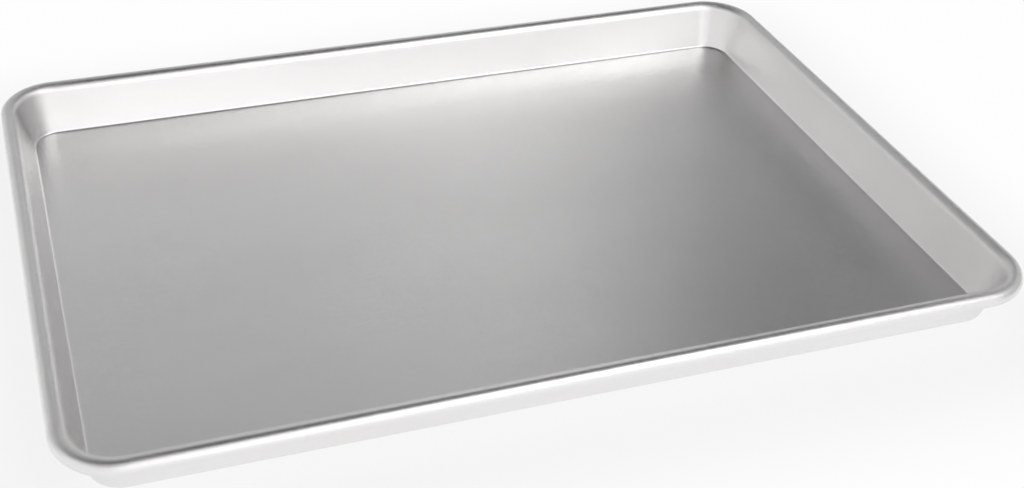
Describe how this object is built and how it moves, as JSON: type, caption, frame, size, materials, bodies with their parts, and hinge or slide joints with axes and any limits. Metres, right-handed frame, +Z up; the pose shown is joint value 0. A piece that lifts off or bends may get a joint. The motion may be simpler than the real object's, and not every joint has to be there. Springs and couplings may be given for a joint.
{
  "type": "jelly roll pan",
  "caption": "Shallow rectangular aluminium baking pan with leaning walls, round drawn corners and a rim curled round a stiffening wire.",
  "frame": {"origin": "middle of the base's underside", "axes": "+X along the long side, +Y from the front to the back, +Z up"},
  "size_m": [0.405, 0.28, 0.024],
  "materials": {
    "pan": "natural rolled sheet, satin, with fine grain",
    "wire": "galvanised, dull"
  },
  "bodies": {
    "root": {"pan_sheet": "pan", "rim_wire": "wire"}
  },
  "joints": []
}
